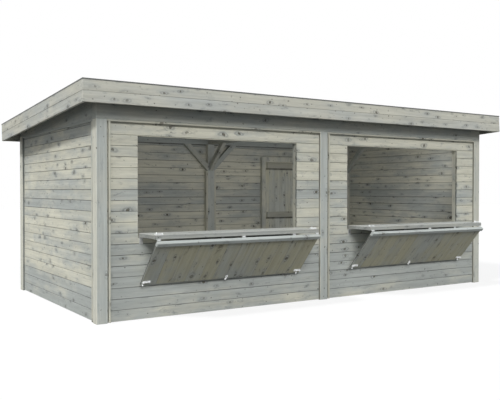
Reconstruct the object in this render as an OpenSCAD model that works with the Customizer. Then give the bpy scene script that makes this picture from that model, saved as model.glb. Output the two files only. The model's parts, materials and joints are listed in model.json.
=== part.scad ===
// Wooden market stall: post and beam frame, boarded walls, pent roof falling to the back,
// two serving hatches that fold out into counters, and a ledged door in the back wall.
// Millimetres, +Z up, ground at z = 0, front of the stall towards -Y.

/* [Frame] */
// Length over the outer faces of the end posts
stall_length = 6000; // [5400:50:7200]
// Depth over the outer faces of the front and back posts
stall_depth = 3000; // [2400:50:3600]
// Side of each square post, and width of the beams on top
post_size = 120; // [115:1:140]
// Chamfer along the edges of the posts
post_chamfer = 5; // [2:1:10]
// Height of the posts, up to the underside of the beams
post_height = 2125; // [2080:5:2300]
// Height of the front beam at its outer face
front_beam_height = 256; // [180:2:300]
// Height of the back beam at its outer face
back_beam_height = 86; // [60:2:120]
// Leg of each 45 degree head brace along post and beam
brace_leg = 425; // [300:5:500]
// Width of a head brace across its length
brace_width = 80; // [50:5:110]

/* [Roof] */
// Overhang of the fascia past the front posts
overhang_front = 194; // [120:2:260]
// Overhang of the fascia past the back posts
overhang_back = 148; // [120:2:260]
// Overhang of the fascia past the side posts
overhang_side = 208; // [140:2:280]
// Rafters between the two end beams
rafter_count = 7; // [5:2:11]
// Width of a rafter
rafter_width = 60; // [40:5:80]
// Depth of a rafter
rafter_depth = 80; // [60:5:120]
// Thickness of the boarded roof deck
deck_thickness = 21; // [16:1:30]
// Thickness of the roof covering
covering_thickness = 4; // [2:1:10]
// Thickness of the sheet metal trim round the edge of the roof
trim_thickness = 2; // [1:0.5:4]
// Width of the trim on top of the covering
trim_flange = 40; // [25:1:80]
// How far the trim laps down over the fascia
trim_lap = 7; // [4:1:40]
// Height of the fascia, two boards one above the other
fascia_height = 232; // [160:2:280]
// Thickness of the fascia boards
fascia_thickness = 28; // [18:1:40]
// Width and depth of the seam between the two fascia boards
fascia_seam = 4; // [2:1:8]

/* [Walls] */
// Thickness of the wall boards
board_thickness = 28; // [18:1:34]
// Setback of the boards behind the outer faces of the posts
board_recess = 30; // [24:1:44]
// Gap between the walls and the ground
ground_gap = 5; // [2:1:20]
// Width of the closing strip at one end of each bay
strip_width = 22; // [15:1:40]
// Gap between the closing strip and its post
strip_gap = 14; // [6:1:20]
// Width of the upright battens inside, beside the posts
batten_width = 30; // [20:1:45]
// Height of the batten under the beams
top_batten_height = 20; // [12:1:40]
// Depth of the battens and frames behind the boards
inner_depth = 60; // [30:1:61]
// Joint between two battens that meet
batten_seam = 1; // [0.5:0.5:3]

/* [Hatches] */
// Width of each hatch opening
opening_width = 2118; // [1600:2:2400]
// Height of the sill, where the hatch hinges
sill_height = 877; // [800:1:1000]
// Height of the boarding over each hatch opening
hatch_header = 160; // [120:2:240]
// Width of the frame timbers round an opening
frame_width = 60; // [40:2:90]
// Thickness of the counter, and of the rail along the folded edge of the flap
leaf_thickness = 43; // [30:1:50]
// Thickness of the flap's boards
flap_thickness = 22; // [16:1:28]
// Width of the rail along the folded edge of the flap
flap_rail_width = 46; // [30:1:70]
// Angle of the open flap from upright, which sets the depth of the counter
flap_tilt = 41; // [35:0.5:50]
// Gap at each end of a hatch leaf
leaf_side_gap = 6; // [5:1:15]
// Gap over the closed hatch
leaf_top_gap = 8; // [6:1:15]
// Gap between sill hinge and counter
sill_gap = 5; // [5:1:10]
// Gap between fold hinge and each leaf
fold_gap = 3; // [2:1:8]
// Gap between the lower edge of the open flap and the wall
flap_wall_gap = 34; // [6:1:50]

/* [Hardware] */
// Diameter of the hinge knuckles
knuckle_diameter = 14; // [10:1:18]
// Gap between a knuckle and the face it stands on
knuckle_gap = 1; // [0.5:0.5:2]
// End play between neighbouring knuckles
knuckle_play = 0.6; // [0.4:0.1:1.5]
// Thickness of hinge and bolt plates
plate_thickness = 3; // [2:0.5:5]
// Length of a hinge plate from the hinge axis
plate_length = 70; // [45:5:120]
// Width of a hatch hinge along its axis
hinge_width = 42; // [36:3:120]
// Distance of the outer hatch hinges from the ends of the leaf
hinge_inset = 30; // [22:1:300]
// Length of a slide bolt
bolt_length = 100; // [70:5:140]
// Diameter of a bolt's rod
bolt_diameter = 12; // [8:1:16]
// Width of a bolt's plate
bolt_plate_width = 34; // [28:1:50]
// Diameter of a bolt's knob
bolt_knob_diameter = 10; // [6:1:11]
// Height of a bolt's knob over its rod's axis
bolt_knob_height = 24; // [16:1:36]
// Length of a guide that holds a bolt's rod
bolt_guide = 8; // [5:1:12]
// Gap between a bolt's rod and its plate
bolt_clearance = 1; // [0.5:0.5:2]
// How far a bolt's rod stands out of its plate
bolt_throw = 10; // [5:1:20]
// Distance of the slide bolts from the edge of a leaf
bolt_inset = 48; // [30:1:80]

/* [Door] */
// Width of the doorway in the back wall
doorway_width = 810; // [700:5:900]
// Height of the boarding over the doorway
door_header = 249; // [150:1:320]
// Gap round the door leaf
door_gap = 5; // [5:1:10]
// Gap between the door leaf and the ground
door_ground_gap = 15; // [8:1:40]
// Width of the door jambs
jamb_width = 62; // [40:2:90]
// How far the stops reach past the jambs, to close the gap round the leaf
door_stop = 14; // [10:1:25]
// Height of the board over the doorway
door_head_height = 76; // [50:2:110]
// Height of the ledges across the inside of the door
ledge_height = 94; // [70:2:120]
// Thickness of the ledges
ledge_thickness = 24; // [16:1:30]
// Distance of the ledge ends from the edges of the leaf
ledge_inset = 60; // [30:2:100]
// Height of the lower edge of the bottom ledge
bottom_ledge_z = 130; // [90:5:250]
// Height of the lower edge of the middle ledge
middle_ledge_z = 920; // [700:5:1100]
// Length of the strap on a door hinge
strap_length = 420; // [250:10:600]
// Height of the strap on a door hinge
strap_height = 36; // [24:2:50]
// Height of the middle of the door handle
handle_z = 1010; // [850:5:1200]
// Length of the door handle
handle_length = 150; // [100:5:220]
// How far the door handle stands out from the leaf
handle_reach = 42; // [32:1:60]
// Width of the flat bar that the handle is bent from
handle_width = 20; // [12:1:30]
// Thickness of the flat bar that the handle is bent from
handle_bar = 6; // [4:1:8]
// Distance of the handle from the free edge of the leaf
handle_inset = 50; // [30:1:120]

/* [Hidden] */
$fn = 48;

// How far a cut runs past the solid it is taken from
past = 1;
both_past = [-past, past];

post_colour = "#A3A89F";
beam_colour = "#8F948A";
board_colour = "#B3B2A0";
fascia_colour = "#BDBEB0";
leaf_colour = "#ABAA98";
covering_colour = "#66675F";
trim_colour = "#5A5C58";
steel_colour = "#C9CCCB";

// Plan of the frame
bay_length = (stall_length - 3 * post_size) / 2;
side_bay_length = stall_depth - 2 * post_size;
post_xs = [0, post_size + bay_length, stall_length - post_size];
bay_xs = [post_size, stall_length - post_size - bay_length];
wall_inner = board_recess + board_thickness;
frame_inner = wall_inner + inner_depth;
brace_thickness = post_size - wall_inner;
brace_foot = post_height - brace_leg;

// Roof, with heights over the underside of the rafters and depths down the slope
roof_pitch = atan((front_beam_height - back_beam_height) / stall_depth);
roof_origin = [0, 0, post_height + front_beam_height];
deck_top = rafter_depth + deck_thickness;
covering_top = deck_top + covering_thickness;
trim_top = covering_top + trim_thickness;
roof_y = [-overhang_front, stall_depth / cos(roof_pitch) + overhang_back];
roof_x = [-overhang_side, stall_length + overhang_side];
trim_proud = [-trim_thickness, trim_thickness];
beam_stock = front_beam_height + 2 * rafter_depth;
inside_fascia_y = [roof_y[0] + fascia_thickness, roof_y[1] - fascia_thickness];
inside_fascia_x = [roof_x[0] + fascia_thickness, roof_x[1] - fascia_thickness];
rafter_pitch = (stall_length - 2 * post_size) / (rafter_count + 1);

// Hatches
opening_xs = [for (x = bay_xs) x + (bay_length - opening_width) / 2];
opening_top = post_height - hatch_header;
hinge_offset = knuckle_diameter / 2 + knuckle_gap;
leaf_length = opening_width - 2 * leaf_side_gap;
leaf_reach = opening_top - sill_height - leaf_top_gap;
counter_depth = (leaf_reach * sin(flap_tilt) - hinge_offset * (1 + cos(flap_tilt)) + flap_wall_gap)
    / (1 + sin(flap_tilt));
flap_reach = leaf_reach - counter_depth;
hinge_xs = [leaf_side_gap + hinge_inset, opening_width / 2, opening_width - leaf_side_gap - hinge_inset];
leaf_face = hinge_offset + leaf_thickness;
flap_face = hinge_offset + flap_thickness;
flap_board_top = -fold_gap - flap_rail_width;
bolt_guide_width = bolt_diameter + 2 * plate_thickness;

// Door
doorway_x = stall_length - post_size - (bay_length + doorway_width) / 2;
doorway_height = post_height - door_header;
door_leaf_width = doorway_width - 2 * door_gap;
door_leaf_top = doorway_height - door_gap;
board_back_y = stall_depth - board_recess;
board_inside_y = stall_depth - wall_inner;
top_ledge_z = doorway_height - door_stop - door_gap - ledge_height;
ledge_zs = [bottom_ledge_z, middle_ledge_z, top_ledge_z];
strap_zs = [for (z = [bottom_ledge_z, top_ledge_z]) z + ledge_height / 2];

// Plan outline, to put the origin under its centre
flap_front_y = board_recess - hinge_offset - counter_depth + fold_gap * sin(flap_tilt)
    - leaf_face * cos(flap_tilt);
fascia_front_y = roof_y[0] * cos(roof_pitch) + (deck_top - fascia_height) * sin(roof_pitch);
plan_front_y = min(flap_front_y, fascia_front_y);
plan_back_y = (roof_y[1] + trim_thickness) * cos(roof_pitch) + trim_top * sin(roof_pitch);
plan_centre = [stall_length / 2, (plan_front_y + plan_back_y) / 2, 0];

// Moves the corner of the front left post to its place round the origin
module in_plan() {
    translate(-plan_centre) children();
}

// Box between two corners
module block(low, high) {
    translate(low) cube(high - low);
}

// Bar square to the roof's slope, between two heights over the underside of the rafters
module roof_bar(x, y, low, high) {
    translate(roof_origin) rotate([-roof_pitch, 0, 0]) block([x[0], y[0], low], [x[1], y[1], high]);
}

// Beam with a level underside on the posts and a top sawn to the roof's slope
module sloped_beam(x, y, high) {
    difference() {
        block([x[0], y[0], post_height], [x[1], y[1], post_height + beam_stock]);
        roof_bar(x + both_past, roof_y, high, high + beam_stock);
    }
}

// Square post with chamfered edges
module post(x, y) {
    c = post_chamfer;
    s = post_size;
    color(post_colour) in_plan() translate([x, y, 0]) linear_extrude(post_height)
        polygon([[c, 0], [s - c, 0], [s, c], [s, s - c], [s - c, s], [c, s], [0, s - c], [0, c]]);
}

module front_left_post() { post(post_xs[0], 0); }
module front_middle_post() { post(post_xs[1], 0); }
module front_right_post() { post(post_xs[2], 0); }
module back_left_post() { post(post_xs[0], stall_depth - post_size); }
module back_middle_post() { post(post_xs[1], stall_depth - post_size); }
module back_right_post() { post(post_xs[2], stall_depth - post_size); }

module front_beam() {
    color(beam_colour) in_plan() sloped_beam([0, stall_length], [0, post_size], 0);
}

module back_beam() {
    color(beam_colour) in_plan()
        sloped_beam([0, stall_length], [stall_depth - post_size, stall_depth], 0);
}

// Beam from the front beam to the back beam
module cross_beam(x, high) {
    color(beam_colour) in_plan()
        sloped_beam([x, x + post_size], [post_size, stall_depth - post_size], high);
}

module left_beam() { cross_beam(post_xs[0], rafter_depth); }
module right_beam() { cross_beam(post_xs[2], rafter_depth); }
module middle_beam() { cross_beam(post_xs[1], 0); }

// Head brace in the XZ plane, from a post at the origin up to the beam, leaning towards +X
module head_brace() {
    cut = brace_width * sqrt(2);
    translate([0, brace_thickness, 0]) rotate([90, 0, 0]) linear_extrude(brace_thickness)
        polygon([[0, brace_foot], [brace_leg, post_height],
                 [brace_leg - cut, post_height], [0, brace_foot + cut]]);
}

module back_beam_braces() {
    color(beam_colour) in_plan()
        translate([post_xs[1] + post_size / 2, stall_depth - post_size, 0])
            for (side = [0, 1])
                mirror([side, 0, 0]) translate([post_size / 2, 0, 0]) head_brace();
}

// Braces at both ends of the three cross beams
module cross_braces() {
    inset = [post_size - brace_thickness, (post_size - brace_thickness) / 2, 0];
    color(beam_colour) in_plan()
        for (i = [0 : 2], end = [0, 1])
            translate([post_xs[i] + inset[i], stall_depth / 2, 0])
                mirror([0, end, 0]) translate([0, -side_bay_length / 2, 0])
                    translate([brace_thickness, 0, 0]) rotate(90) head_brace();
}

module rafters() {
    low_x = inside_fascia_x[0];
    high_x = inside_fascia_x[1] - rafter_width;
    between = [for (i = [1 : rafter_count]) post_size + i * rafter_pitch - rafter_width / 2];
    color(beam_colour) in_plan()
        for (x = concat([low_x], between, [high_x]))
            roof_bar([x, x + rafter_width], inside_fascia_y, 0, rafter_depth);
}

module roof_deck() {
    color(board_colour) in_plan() roof_bar(inside_fascia_x, inside_fascia_y, rafter_depth, deck_top);
}

module roof_covering() {
    color(covering_colour) in_plan() roof_bar(roof_x, roof_y, deck_top, covering_top);
}

// Folded sheet metal edge: a flange on the covering and a lap over the top of the fascia
module roof_trim() {
    inset = [trim_flange, -trim_flange];
    low = deck_top - trim_lap;
    color(trim_colour) in_plan() difference() {
        roof_bar(roof_x + trim_proud, roof_y + trim_proud, low, trim_top);
        roof_bar(roof_x, roof_y, low - past, covering_top);
        roof_bar(roof_x + inset, roof_y + inset, covering_top - past, trim_top + past);
    }
}

// Fascia with the seam between its two boards cut along the outer face
module fascia(x, y, seam_x, seam_y) {
    low = deck_top - fascia_height;
    seam_low = deck_top - (fascia_height + fascia_seam) / 2;
    color(fascia_colour) in_plan() difference() {
        roof_bar(x, y, low, deck_top);
        roof_bar(seam_x, seam_y, seam_low, seam_low + fascia_seam);
    }
}

module front_fascia() {
    seam = [roof_y[0] - fascia_seam, roof_y[0] + fascia_seam];
    fascia(roof_x, [roof_y[0], inside_fascia_y[0]], roof_x + both_past, seam);
}

module back_fascia() {
    seam = [roof_y[1] - fascia_seam, roof_y[1] + fascia_seam];
    fascia(roof_x, [inside_fascia_y[1], roof_y[1]], roof_x + both_past, seam);
}

module left_fascia() {
    seam = [roof_x[0] - fascia_seam, roof_x[0] + fascia_seam];
    fascia([roof_x[0], inside_fascia_x[0]], inside_fascia_y, seam, inside_fascia_y + both_past);
}

module right_fascia() {
    seam = [roof_x[1] - fascia_seam, roof_x[1] + fascia_seam];
    fascia([inside_fascia_x[1], roof_x[1]], inside_fascia_y, seam, inside_fascia_y + both_past);
}

// Turns a wall drawn along X, outer face towards -Y, onto one side of the stall
module on_front() { in_plan() children(); }
module on_back() { in_plan() translate([stall_length, stall_depth, 0]) rotate(180) children(); }
module on_left() { in_plan() translate([0, stall_depth, 0]) rotate(-90) children(); }
module on_right() { in_plan() translate([stall_length, 0, 0]) rotate(90) children(); }

// Boarding between two places along a wall and two heights
module boarding(x0, x1, z0, z1) {
    color(board_colour) block([x0, board_recess, z0], [x1, wall_inner, z1]);
}

module left_wall() {
    on_left() boarding(post_size, post_size + side_bay_length, ground_gap, post_height);
}

module right_wall() {
    on_right() boarding(post_size, post_size + side_bay_length, ground_gap, post_height);
}

module back_wall() {
    on_back() boarding(bay_xs[1], bay_xs[1] + bay_length, ground_gap, post_height);
}

module door_side_walls() {
    side = (bay_length - doorway_width) / 2;
    on_back() for (x = [bay_xs[0], bay_xs[0] + bay_length - side])
        boarding(x, x + side, ground_gap, post_height);
}

module door_over_wall() {
    x = bay_xs[0] + (bay_length - doorway_width) / 2;
    on_back() boarding(x, x + doorway_width, doorway_height, post_height);
}

module hatch_apron_walls() {
    on_front() for (x = bay_xs) boarding(x, x + bay_length, ground_gap, sill_height);
}

module hatch_side_walls() {
    side = (bay_length - opening_width) / 2;
    on_front() for (bay = bay_xs, x = [bay, bay + bay_length - side])
        boarding(x, x + side, sill_height, opening_top);
}

module hatch_over_walls() {
    on_front() for (x = bay_xs) boarding(x, x + bay_length, opening_top, post_height);
}

// Battens of one bay: a closing strip and a top strip outside, two uprights inside
module bay_battens(x, length, strip_x, inner_tops) {
    top_z = post_height - top_batten_height;
    uprights = [x, x + length - batten_width];
    color(fascia_colour) {
        block([strip_x, 0, ground_gap], [strip_x + strip_width, board_recess, top_z - batten_seam]);
        block([x, 0, top_z], [x + length, board_recess, post_height]);
        for (i = [0, 1])
            block([uprights[i], wall_inner, ground_gap],
                  [uprights[i] + batten_width, frame_inner, inner_tops[i]]);
    }
}

module front_battens() {
    on_front() for (x = bay_xs)
        bay_battens(x, bay_length, x + strip_gap, [post_height, post_height]);
}

module back_battens() {
    tops = [[post_height, brace_foot], [brace_foot, post_height]];
    on_back() for (i = [0, 1])
        bay_battens(bay_xs[i], bay_length, bay_xs[i] + strip_gap, tops[i]);
}

module left_battens() {
    on_left() bay_battens(post_size, side_bay_length,
                          post_size + side_bay_length - strip_gap - strip_width,
                          [brace_foot, brace_foot]);
}

module right_battens() {
    on_right() bay_battens(post_size, side_bay_length, post_size + strip_gap, [brace_foot, brace_foot]);
}

module hatch_studs() {
    color(beam_colour) on_front() for (x = opening_xs, stud = [x - frame_width, x + opening_width])
        block([stud, wall_inner, ground_gap], [stud + frame_width, frame_inner, post_height]);
}

module hatch_rails() {
    color(beam_colour) on_front() for (x = opening_xs, z = [sill_height - frame_width, opening_top])
        block([x, wall_inner, z], [x + opening_width, frame_inner, z + frame_width]);
}

// Outline of a hinge plate towards -Y, with a tab out to each of its knuckles
module hinge_outline(width, tabs, tab_width) {
    translate([-width / 2, -plate_length]) square([width, plate_length - hinge_offset]);
    for (x = tabs) translate([x - tab_width / 2, -plate_length]) square([tab_width, plate_length]);
}

// Half of a hinge: plate towards -Y over the axis, with its knuckles on the X axis
module hinge_half(width, outer) {
    pitch = width / 3;
    knuckles = outer ? [-pitch, pitch] : [0];
    knuckle_length = pitch - knuckle_play;
    translate([0, 0, hinge_offset - plate_thickness]) linear_extrude(plate_thickness)
        hinge_outline(width, knuckles, knuckle_length);
    for (x = knuckles) translate([x - knuckle_length / 2, 0, 0]) rotate([0, 90, 0])
        cylinder(d = knuckle_diameter, h = knuckle_length);
}

// Moves a shape drawn round the sill hinge of a hatch to its place
module at_hatch(i) {
    in_plan() translate([opening_xs[i], board_recess - hinge_offset, sill_height]) children();
}

// Folds a flap, drawn straight out from the counter, down and back to the wall
module at_fold() {
    translate([0, -counter_depth, 0]) rotate([90 + flap_tilt, 0, 0]) children();
}

// Slide bolt along X on a face at z = 0, with its rod's end at the origin
module slide_bolt() {
    axis_z = plate_thickness + bolt_clearance + bolt_diameter / 2;
    guide_xs = [bolt_throw + bolt_guide, bolt_length - 2 * bolt_guide];
    block([bolt_throw, -bolt_plate_width / 2, 0], [bolt_length, bolt_plate_width / 2, plate_thickness]);
    translate([0, 0, axis_z]) rotate([0, 90, 0])
        cylinder(d = bolt_diameter, h = bolt_length - bolt_guide / 2);
    for (x = guide_xs)
        block([x, -bolt_guide_width / 2, plate_thickness / 2],
              [x + bolt_guide, bolt_guide_width / 2, axis_z + bolt_diameter / 2 + plate_thickness]);
    translate([bolt_length / 2, 0, axis_z]) cylinder(d = bolt_knob_diameter, h = bolt_knob_height);
}

module hatch_sill_hinges() {
    color(steel_colour) for (i = [0, 1]) at_hatch(i) for (x = hinge_xs)
        translate([x, 0, 0]) rotate([-90, 0, 0]) mirror([0, 1, 0]) hinge_half(hinge_width, false);
}

module counter(i) {
    color(leaf_colour) at_hatch(i)
        block([leaf_side_gap, fold_gap - counter_depth, hinge_offset],
              [leaf_side_gap + leaf_length, -sill_gap, leaf_face]);
}

// Moving halves of the sill hinges, first halves of the fold hinges, and two slide bolts on top
module counter_hardware(i) {
    bolt_y = fold_gap - counter_depth + bolt_inset;
    color(steel_colour) at_hatch(i) {
        for (x = hinge_xs) translate([x, 0, 0]) {
            hinge_half(hinge_width, true);
            translate([0, -counter_depth, 0]) mirror([0, 1, 0]) hinge_half(hinge_width, true);
        }
        end_bolts(bolt_y, leaf_face);
    }
}

// Slide bolts at both ends of a leaf, on its inner face
module end_bolts(y, face) {
    translate([opening_width / 2, y, face])
        for (side = [0, 1])
            mirror([side, 0, 0]) translate([-leaf_length / 2, 0, 0]) slide_bolt();
}

module flap(i) {
    color(leaf_colour) at_hatch(i) at_fold()
        block([leaf_side_gap, -flap_reach, hinge_offset],
              [leaf_side_gap + leaf_length, flap_board_top, flap_face]);
}

// Rail along the folded edge of a flap, which carries its boards and hinges
module flap_rail(i) {
    color(fascia_colour) at_hatch(i) at_fold()
        block([leaf_side_gap, flap_board_top, hinge_offset],
              [leaf_side_gap + leaf_length, -fold_gap, leaf_face]);
}

// Moving halves of the fold hinges, two end bolts and one middle bolt
module flap_hardware(i) {
    color(steel_colour) at_hatch(i) at_fold() {
        for (x = hinge_xs) translate([x, 0, 0]) hinge_half(hinge_width, false);
        end_bolts(bolt_inset - flap_reach, flap_face);
        translate([opening_width / 2, -flap_reach, flap_face]) rotate(90) slide_bolt();
    }
}

module left_counter() { counter(0); }
module left_counter_hardware() { counter_hardware(0); }
module left_flap() { flap(0); }
module left_flap_rail() { flap_rail(0); }
module left_flap_hardware() { flap_hardware(0); }
module right_counter() { counter(1); }
module right_counter_hardware() { counter_hardware(1); }
module right_flap() { flap(1); }
module right_flap_rail() { flap_rail(1); }
module right_flap_hardware() { flap_hardware(1); }

// Jambs and head round the doorway, inside the boards
module door_frame() {
    low_y = stall_depth - frame_inner;
    outer_x = [doorway_x - jamb_width, doorway_x + doorway_width + jamb_width];
    color(beam_colour) in_plan() difference() {
        block([outer_x[0], low_y, ground_gap],
              [outer_x[1], board_inside_y, doorway_height + door_head_height]);
        block([doorway_x, low_y - past, ground_gap - past],
              [doorway_x + doorway_width, board_inside_y + past, doorway_height]);
    }
}

// Laths behind the edges of the leaf, on the jambs and under the head
module door_stops() {
    low_y = stall_depth - frame_inner;
    high_y = board_inside_y - door_gap;
    sides = [doorway_x, doorway_x + doorway_width - door_stop];
    color(beam_colour) in_plan() {
        for (x = sides)
            block([x, low_y, ground_gap], [x + door_stop, high_y, doorway_height]);
        block([sides[0] + door_stop, low_y, doorway_height - door_stop],
              [sides[1], high_y, doorway_height]);
    }
}

module door_leaf() {
    color(leaf_colour) in_plan()
        block([doorway_x + door_gap, board_inside_y, door_ground_gap],
              [doorway_x + door_gap + door_leaf_width, board_back_y, door_leaf_top]);
}

module door_ledges() {
    x = doorway_x + door_gap + ledge_inset;
    length = door_leaf_width - 2 * ledge_inset;
    color(leaf_colour) in_plan() for (z = ledge_zs)
        block([x, board_inside_y - ledge_thickness, z], [x + length, board_inside_y, z + ledge_height]);
}

// Stands a hinge half on the outside of the back wall, its axis upright beside the doorway
module at_door_hinge(z) {
    in_plan() translate([doorway_x, board_back_y + hinge_offset, z]) children();
}

// Fixed half of each door hinge: a plate on the boards beside the doorway
module door_hinge_plates() {
    color(steel_colour) for (z = strap_zs) at_door_hinge(z)
        rotate([0, 90, 0]) rotate([90, 0, 0]) hinge_half(strap_height * 2, true);
}

// Moving half of each door hinge: a long strap across the leaf
module door_straps() {
    knuckle_length = strap_height * 2 / 3 - knuckle_play;
    color(steel_colour) for (z = strap_zs) at_door_hinge(z) {
        translate([0, 0, -knuckle_length / 2]) cylinder(d = knuckle_diameter, h = knuckle_length);
        translate([0, plate_thickness - hinge_offset, 0]) rotate([90, 0, 0]) linear_extrude(plate_thickness) {
            translate([0, -knuckle_length / 2]) square([strap_length, knuckle_length]);
            translate([hinge_offset, -strap_height / 2]) square([strap_length - hinge_offset, strap_height]);
        }
    }
}

// Pull handle bent from flat bar, on the outside of the leaf near its free edge
module door_handle() {
    x = doorway_x + doorway_width - door_gap - handle_inset - handle_width;
    color(steel_colour) in_plan() translate([x, board_back_y, handle_z - handle_length / 2])
        rotate([90, 0, 90]) linear_extrude(handle_width) difference() {
            square([handle_reach, handle_length]);
            translate([-past, handle_bar])
                square([handle_reach - handle_bar + past, handle_length - 2 * handle_bar]);
        }
}

front_left_post();
front_middle_post();
front_right_post();
back_left_post();
back_middle_post();
back_right_post();
front_beam();
back_beam();
left_beam();
right_beam();
middle_beam();
back_beam_braces();
cross_braces();
rafters();
roof_deck();
roof_covering();
roof_trim();
front_fascia();
back_fascia();
left_fascia();
right_fascia();
left_wall();
right_wall();
back_wall();
door_side_walls();
door_over_wall();
hatch_apron_walls();
hatch_side_walls();
hatch_over_walls();
front_battens();
back_battens();
left_battens();
right_battens();
hatch_studs();
hatch_rails();
hatch_sill_hinges();
left_counter();
left_counter_hardware();
left_flap();
left_flap_rail();
left_flap_hardware();
right_counter();
right_counter_hardware();
right_flap();
right_flap_rail();
right_flap_hardware();
door_frame();
door_stops();
door_hinge_plates();
door_leaf();
door_ledges();
door_straps();
door_handle();
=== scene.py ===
"""Looks of a wooden market stall: weathered boards, timbers, roof sheet and galvanised fittings."""
import json
import logging
import math
import random
from dataclasses import dataclass, field
from enum import Enum
from typing import Any, Dict, List, Mapping, Optional, Sequence, Tuple, Union

import bmesh
import bpy
from mathutils import Euler, Matrix, Vector


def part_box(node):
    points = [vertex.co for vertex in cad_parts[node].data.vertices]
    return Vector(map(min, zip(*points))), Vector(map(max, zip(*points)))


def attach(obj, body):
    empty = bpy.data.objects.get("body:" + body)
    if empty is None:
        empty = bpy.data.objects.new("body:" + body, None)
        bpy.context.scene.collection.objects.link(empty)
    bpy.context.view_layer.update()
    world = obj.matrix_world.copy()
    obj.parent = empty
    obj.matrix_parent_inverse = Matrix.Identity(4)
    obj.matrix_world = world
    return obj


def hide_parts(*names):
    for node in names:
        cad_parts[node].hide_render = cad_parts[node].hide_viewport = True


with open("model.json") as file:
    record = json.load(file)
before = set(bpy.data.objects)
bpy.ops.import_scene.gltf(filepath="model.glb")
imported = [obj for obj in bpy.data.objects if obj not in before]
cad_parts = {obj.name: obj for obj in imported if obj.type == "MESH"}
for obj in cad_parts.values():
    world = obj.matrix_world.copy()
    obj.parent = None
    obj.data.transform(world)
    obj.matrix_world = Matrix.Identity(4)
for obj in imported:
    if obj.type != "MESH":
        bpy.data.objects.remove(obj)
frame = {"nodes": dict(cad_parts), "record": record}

LOG = logging.getLogger("market_stall")
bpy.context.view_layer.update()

Triple = Tuple[float, float, float]
Colour = Triple
Box = Tuple[Vector, Vector]
Profile = Tuple[Tuple[float, float], ...]
Value = Union["Socket", float]

LEVEL = Matrix.Identity(3)
UP = Vector((0.0, 0.0, 1.0))
WHITE = (1.0, 1.0, 1.0, 1.0)

# What counts as one point, one plane, one flat face and no board at all, in metres and radians.
SAME_POINT = 1e-5
SAME_PLANE = 1e-6
SAME_FACE = math.radians(0.5)
SLIVER = 1e-4

# What counts as a sharp edge of a fitting, an edge at a board's end, a point at a joint, a face square to an
# axis and a face that looks to the front.
SHARP_ANGLE = math.radians(40.0)
BOARD_END = 0.06
AT_JOINT = 0.9
SQUARE_ON = 0.9
LOOKS_FRONT = -0.5

# How far chance shifts a timber's grain, the least share of dirt in a joint, and the painted shade on the
# sides of a post that stand in front of the boards, where the recess lies in shadow.
GRAIN_SHIFT = 40.0
LEAST_DIRT = 0.55
REVEAL_SHADE = 0.62


class Axis(Enum):
    """Direction in a timber's own frame."""

    X = 0
    Y = 1
    Z = 2


class Slot(Enum):
    """Material slots of the record."""

    POST = "post"
    BEAM = "beam"
    BOARD = "board"
    TRIM = "trim"
    LEAF = "leaf"
    DECK = "deck"
    COVERING = "covering"
    EDGE_METAL = "edge_metal"
    STEEL = "steel"


class Side(Enum):
    """The two halves of the stall's front."""

    LEFT = "left"
    RIGHT = "right"


class Easing(Enum):
    """Which edges of the timbers are eased."""

    NONE = "none"
    JOINTS = "joints"
    ALL = "all"


NODE_BODY: Dict[str, str] = {
    node: body for body, nodes in frame["record"]["behaviour"]["bodies"].items() for node in nodes
}
NODE_SLOT: Dict[str, Slot] = {
    part["node"]: Slot(part["material_slot"]) for part in frame["record"]["subparts"]
}


class Socket:
    """A shader node's output, on which Python's operators add Math nodes."""

    def __init__(self, shader: "Shader", output: Optional[bpy.types.NodeSocket]) -> None:
        """Keeps the tree and the output that later nodes read."""
        self.shader = shader
        self.output = output

    def _math(self, operation: str, first: Value, second: Value) -> "Socket":
        """Adds one Math node on two values and returns its result."""
        return self.shader.node("ShaderNodeMath", {"operation": operation}, {0: first, 1: second})

    def __add__(self, other: Value) -> "Socket":
        """Adds a value."""
        return self._math("ADD", self, other)

    def __radd__(self, other: Value) -> "Socket":
        """Is added to a value."""
        return self._math("ADD", other, self)

    def __sub__(self, other: Value) -> "Socket":
        """Takes a value away."""
        return self._math("SUBTRACT", self, other)

    def __rsub__(self, other: Value) -> "Socket":
        """Is taken away from a value."""
        return self._math("SUBTRACT", other, self)

    def __mul__(self, other: Value) -> "Socket":
        """Multiplies by a value."""
        return self._math("MULTIPLY", self, other)

    def __rmul__(self, other: Value) -> "Socket":
        """Multiplies a value."""
        return self._math("MULTIPLY", other, self)

    def __gt__(self, other: Value) -> "Socket":
        """Is 1 where this is above a value, and 0 elsewhere."""
        return self._math("GREATER_THAN", self, other)

    def sine(self) -> "Socket":
        """Takes the sine."""
        return self._math("SINE", self, 0.0)

    def most(self, other: Value) -> "Socket":
        """Takes the larger of this and a value."""
        return self._math("MAXIMUM", self, other)

    def sibling(self, name: str) -> "Socket":
        """Gives another output of the same node."""
        return Socket(self.shader, self.output.node.outputs[name])


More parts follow.
